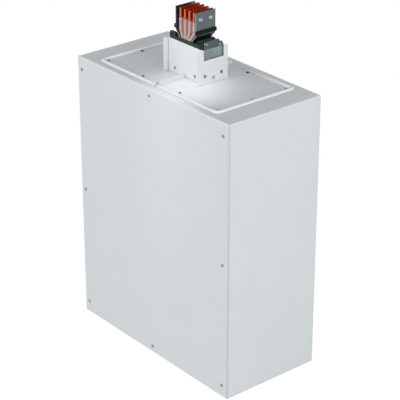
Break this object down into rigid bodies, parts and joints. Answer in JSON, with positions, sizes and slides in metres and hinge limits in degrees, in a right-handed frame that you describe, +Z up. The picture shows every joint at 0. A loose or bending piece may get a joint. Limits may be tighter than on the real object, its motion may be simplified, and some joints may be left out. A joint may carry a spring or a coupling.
{
  "type": "busway feed unit",
  "caption": "Busway feed unit: light grey sheet steel cable box with a split flange pan, a trunk and flared copper bar ends on its roof",
  "frame": {"origin": "middle of the box's underside: half way across the width and half way between cover face and back", "axes": "+X right along the width seen from the front, +Y from the front cover to the back, +Z up"},
  "size_m": [0.6, 0.2977, 0.928],
  "materials": {
    "box_paint": "light grey powder coat, fine orange peel, satin",
    "trunk_paint": "off-white powder coat, satin",
    "zinc_sheet": "galvanised sheet, dull with faint spangle",
    "plated_screw": "bright zinc plate",
    "dark_screw": "blackened steel",
    "black_moulding": "black moulded polymer, low sheen",
    "copper_bar": "bare rolled copper, cut edges brighter than the faces",
    "pink_sleeve": "pinkish insulating film, low sheen",
    "foam_rubber": "closed-cell foam",
    "cream_moulding": "moulded polyester glass, matt"
  },
  "bodies": {
    "frame": {"enclosure_shell": "box_paint", "back_panel": "box_paint", "bottom_panel": "box_paint", "cover_rivet_nuts": "plated_screw", "gland_plate_left": "box_paint", "gland_plate_right": "box_paint", "gland_gasket_left": "foam_rubber", "gland_gasket_right": "foam_rubber", "gland_screws": "plated_screw", "flange_half_left": "box_paint", "flange_half_right": "box_paint", "flange_screws": "dark_screw", "trunk_side_left": "trunk_paint", "trunk_side_right": "trunk_paint", "trunk_web_front": "trunk_paint", "trunk_web_rear": "trunk_paint", "trunk_flat_screws": "dark_screw", "trunk_dome_screws": "plated_screw", "trunk_web_screws": "dark_screw", "foot_angle_left": "zinc_sheet", "foot_angle_right": "zinc_sheet", "foot_angle_front": "zinc_sheet", "foot_angle_rear": "zinc_sheet", "spacer_block_left": "black_moulding", "spacer_block_right": "black_moulding", "end_collar": "black_moulding", "clamp_strip_left": "black_moulding", "clamp_strip_right": "black_moulding", "joint_shield_left": "zinc_sheet", "joint_shield_right": "zinc_sheet", "shield_screws": "plated_screw", "housing_plate_left": "zinc_sheet", "housing_plate_right": "zinc_sheet", "busbar_l1": "copper_bar", "busbar_l2": "copper_bar", "busbar_l3": "copper_bar", "busbar_n": "copper_bar", "bar_sleeve_l1": "pink_sleeve", "bar_sleeve_l2": "pink_sleeve", "bar_sleeve_l3": "pink_sleeve", "bar_sleeve_n": "pink_sleeve", "comb_front": "cream_moulding", "comb_rear": "cream_moulding", "support_bracket_left": "zinc_sheet", "support_bracket_right": "zinc_sheet", "support_bolts": "plated_screw", "earth_bar": "copper_bar", "earth_standoffs": "plated_screw", "earth_bolts": "plated_screw"},
    "cover": {"front_cover": "box_paint", "cover_gasket": "foam_rubber", "cover_stiffener": "zinc_sheet", "cover_screws": "plated_screw"}
  },
  "joints": [
    {"name": "cover_slide", "type": "slide", "parent": "frame", "child": "cover", "axis": [0, -1, 0], "range_m": [0, 0.25]}
  ]
}
